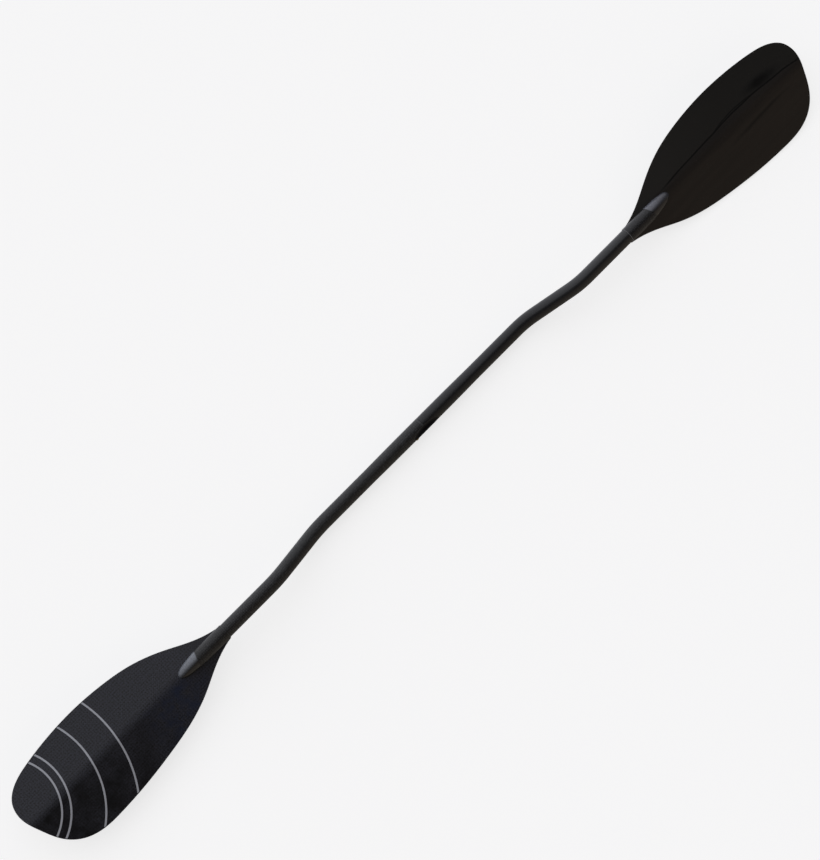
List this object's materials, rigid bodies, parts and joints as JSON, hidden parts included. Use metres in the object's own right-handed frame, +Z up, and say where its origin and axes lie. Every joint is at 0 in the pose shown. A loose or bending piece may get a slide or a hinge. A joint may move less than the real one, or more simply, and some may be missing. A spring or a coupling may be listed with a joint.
{
  "type": "kayak paddle",
  "caption": "Two-piece kayak paddle with a cranked carbon shaft, feathered foam-core blades and a snap-button ferrule.",
  "frame": {"origin": "on the shaft's axis, in the middle, where the two halves meet", "axes": "+X along the straight middle of the shaft to the right blade, +Z up from the floor it lies on, power faces up, and +Y towards the blades' long edges"},
  "size_m": [1.999, 0.1937, 0.0695],
  "materials": {
    "shaft_carbon": "satin",
    "neck_carbon": "gloss",
    "blade_carbon": "gloss",
    "edge_laminate": "satin",
    "ferrule_carbon": "satin",
    "core_foam": "matte",
    "plug_foam": "matte",
    "epoxy_bead": "gloss",
    "silver_ink": "satin",
    "index_vinyl": "satin",
    "button_brass": "satin",
    "spring_steel": "satin"
  },
  "bodies": {
    "left_half": {"left_shaft": "shaft_carbon", "left_neck_socket": "neck_carbon", "left_glue_ring": "epoxy_bead", "left_power_skin": "blade_carbon", "left_back_skin": "blade_carbon", "left_foam_core": "core_foam", "left_edge_band": "edge_laminate", "left_blade_graphic": "silver_ink", "left_bulkhead_plug": "plug_foam", "left_shaft_end_plug": "plug_foam", "left_index_patch": "index_vinyl"},
    "right_half": {"right_shaft": "shaft_carbon", "right_neck_socket": "neck_carbon", "right_glue_ring": "epoxy_bead", "right_power_skin": "blade_carbon", "right_back_skin": "blade_carbon", "right_foam_core": "core_foam", "right_edge_band": "edge_laminate", "right_shaft_end_plug": "plug_foam", "right_index_patch": "index_vinyl", "male_ferrule": "ferrule_carbon", "ferrule_plug": "plug_foam", "button_spring": "spring_steel"},
    "snap_button": {"snap_button": "button_brass"}
  },
  "joints": [
    {"name": "pull_apart", "type": "slide", "parent": "left_half", "child": "right_half", "axis": [1, 0, 0], "range_m": [0, 0.18]},
    {"name": "button_press", "type": "slide", "parent": "right_half", "child": "snap_button", "axis": [0, 1, 0], "range_m": [0, 0.0038], "stiffness_N_per_m": 1200, "springref_m": -0.002, "deforming": ["button_spring"]}
  ]
}
